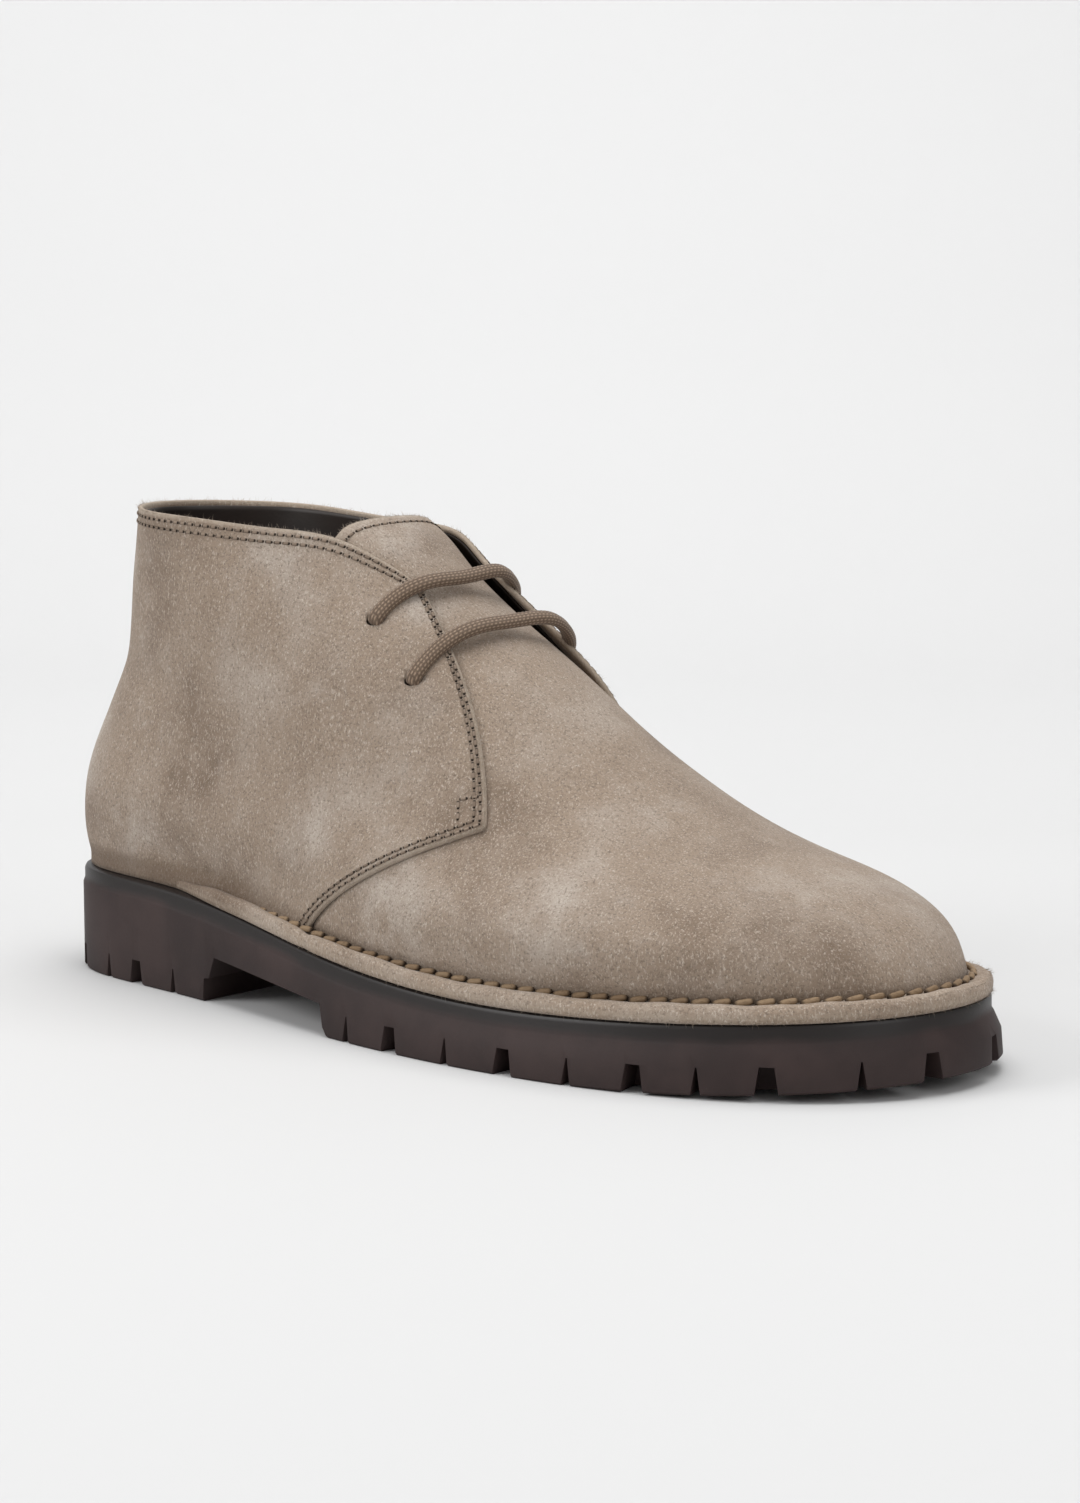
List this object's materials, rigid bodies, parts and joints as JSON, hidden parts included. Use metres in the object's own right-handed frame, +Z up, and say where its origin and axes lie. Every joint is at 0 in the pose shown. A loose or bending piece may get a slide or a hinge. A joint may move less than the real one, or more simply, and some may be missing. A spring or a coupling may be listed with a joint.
{
  "type": "chukka boot",
  "caption": "Ankle-high suede boot with two eyelet rows, open collar and throat, turned-out lower edge and a lugged one-piece sole.",
  "frame": {"origin": "on the ground under the middle of the whole boot", "axes": "+X towards the toe, +Y towards the wearer's left, which is the inner side of this right boot, +Z up"},
  "size_m": [0.305, 0.1144, 0.1366],
  "materials": {
    "sole_rubber": "satin moulded dark brown rubber",
    "suede": "matt brushed grey-brown suede",
    "lining_leather": "smooth dark brown lining leather",
    "lace_braid": "waxed brown braid"
  },
  "bodies": {
    "root": {"outsole": "sole_rubber", "upper": "suede", "tongue": "suede", "insole": "lining_leather", "lace": "lace_braid"}
  },
  "joints": []
}
